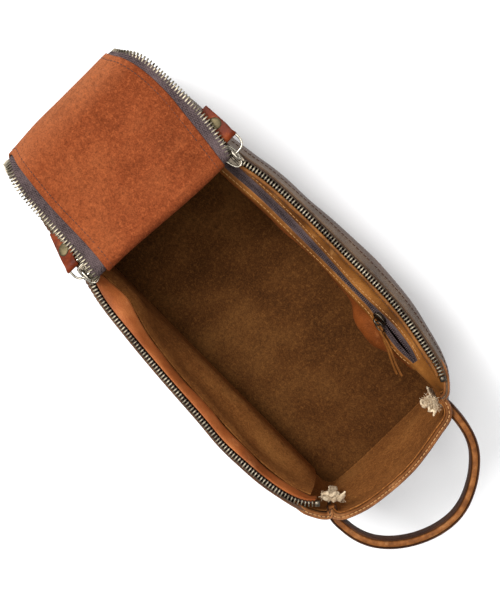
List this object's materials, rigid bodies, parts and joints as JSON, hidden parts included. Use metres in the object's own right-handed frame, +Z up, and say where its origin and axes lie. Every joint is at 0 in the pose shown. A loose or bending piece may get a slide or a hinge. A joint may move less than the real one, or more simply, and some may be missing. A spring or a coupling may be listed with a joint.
{
  "type": "leather wash bag",
  "caption": "Soft box-shaped leather wash bag with a zip-off lid folded back over one end, an inner zip pocket and a strap loop.",
  "frame": {"origin": "centre of the underside, on the surface it stands on", "axes": "+X along the bag towards the handle end, +Y towards the wall with the inner zip pocket, +Z up"},
  "size_m": [0.3629, 0.1444, 0.1302],
  "materials": {
    "body_leather": "waxed, satin",
    "suede": "napped flesh side",
    "facing_leather": "smooth satin",
    "lining": "soft napped",
    "pull_leather": "polished",
    "board": "plain",
    "zip_tape": "woven herringbone",
    "antique_brass": "antiqued",
    "antique_steel": "antiqued",
    "cotton": "frayed tape"
  },
  "bodies": {
    "bag": {"bag_stop_left": "antique_steel", "bag_stop_right": "antique_steel", "bag_tape_left": "zip_tape", "bag_tape_right": "zip_tape", "bag_teeth_left": "antique_brass", "bag_teeth_right": "antique_brass", "base_board": "board", "base_leather": "body_leather", "facing_left": "facing_leather", "facing_right": "facing_leather", "handle_end_left": "body_leather", "handle_end_right": "body_leather", "lid_rear_leather": "body_leather", "lid_rear_suede": "suede", "lid_rear_tape_left": "zip_tape", "lid_rear_tape_right": "zip_tape", "lid_rear_teeth_left": "antique_brass", "lid_rear_teeth_right": "antique_brass", "lining_handle_end": "lining", "lining_hinge_end": "lining", "lining_left": "lining", "lining_right": "lining", "pocket_coil": "zip_tape", "pocket_panel": "facing_leather", "pocket_tape": "zip_tape", "rim_handle_end": "body_leather", "seam_binding_left": "cotton", "seam_binding_right": "cotton", "slip_pocket_panel": "lining", "wall_handle_end": "body_leather", "wall_hinge_end": "body_leather", "wall_left": "body_leather", "wall_right": "body_leather"},
    "lid_link": {"lid_fold": "body_leather"},
    "lid_middle": {"lid_middle_leather": "body_leather", "lid_middle_suede": "suede", "lid_middle_tape_left": "zip_tape", "lid_middle_tape_right": "zip_tape", "lid_middle_teeth_left": "antique_brass", "lid_middle_teeth_right": "antique_brass"},
    "lid_tip": {"lid_tip_leather": "body_leather", "lid_tip_suede": "suede", "lid_tip_tape_left": "zip_tape", "lid_tip_tape_right": "zip_tape", "lid_tip_teeth_left": "antique_brass", "lid_tip_teeth_right": "antique_brass"},
    "handle": {"handle_strap": "body_leather"},
    "pocket_slider": {"pocket_slider": "antique_steel"},
    "pocket_pull": {"pocket_ring": "antique_steel", "pocket_cord": "pull_leather"},
    "slider_left": {"slider_left": "antique_steel"},
    "ring_left": {"ring_left": "antique_steel"},
    "pull_left": {"pull_left": "pull_leather", "rivet_left": "antique_brass"},
    "slider_right": {"slider_right": "antique_steel"},
    "ring_right": {"ring_right": "antique_steel"},
    "pull_right": {"pull_right": "pull_leather", "rivet_right": "antique_brass"}
  },
  "joints": [
    {"name": "lid_fold_lower", "type": "hinge", "parent": "bag", "child": "lid_link", "pos_m": [-0.07, 0, 0.1188], "axis": [0, 1, 0], "range_deg": [0, 90]},
    {"name": "lid_fold_upper", "type": "hinge", "parent": "lid_link", "child": "lid_middle", "pos_m": [-0.07, 0, 0.1278], "axis": [0, 1, 0], "range_deg": [0, 90]},
    {"name": "lid_tip_bend", "type": "hinge", "parent": "lid_middle", "child": "lid_tip", "pos_m": [-0.168, 0, 0.1278], "axis": [0, 1, 0], "range_deg": [0, 90]},
    {"name": "handle_flex", "type": "hinge", "parent": "bag", "child": "handle", "pos_m": [0.151, -0.004, 0.105], "axis": [0, 1, 0], "range_deg": [-25, 25]},
    {"name": "slider_left_zip", "type": "slide", "parent": "bag", "child": "slider_left", "axis": [1, 0, 0], "range_m": [0, 0.19]},
    {"name": "ring_left_swing", "type": "hinge", "parent": "slider_left", "child": "ring_left", "pos_m": [-0.079, -0.0615, 0.1234], "axis": [0, 1, 0], "range_deg": [0, 80]},
    {"name": "pull_left_swing", "type": "hinge", "parent": "ring_left", "child": "pull_left", "pos_m": [-0.09, -0.0654, 0.1234], "axis": [0, 1, 0], "range_deg": [0, 100]},
    {"name": "slider_right_zip", "type": "slide", "parent": "bag", "child": "slider_right", "axis": [1, 0, 0], "range_m": [0, 0.178]},
    {"name": "ring_right_swing", "type": "hinge", "parent": "slider_right", "child": "ring_right", "pos_m": [-0.067, 0.0615, 0.1234], "axis": [0, 1, 0], "range_deg": [0, 80]},
    {"name": "pull_right_swing", "type": "hinge", "parent": "ring_right", "child": "pull_right", "pos_m": [-0.078, 0.0654, 0.1234], "axis": [0, 1, 0], "range_deg": [0, 100]},
    {"name": "pocket_slider_zip", "type": "slide", "parent": "bag", "child": "pocket_slider", "axis": [1, 0, 0], "range_m": [-0.105, 0.02]},
    {"name": "pocket_pull_swing", "type": "hinge", "parent": "pocket_slider", "child": "pocket_pull", "pos_m": [0.069, 0.04487, 0.10528], "axis": [0, -0.8321, 0.5547], "range_deg": [-15, 20]}
  ],
  "couplings": [
    {"joint": "lid_fold_upper", "follows": "lid_fold_lower", "ratio": 1}
  ]
}
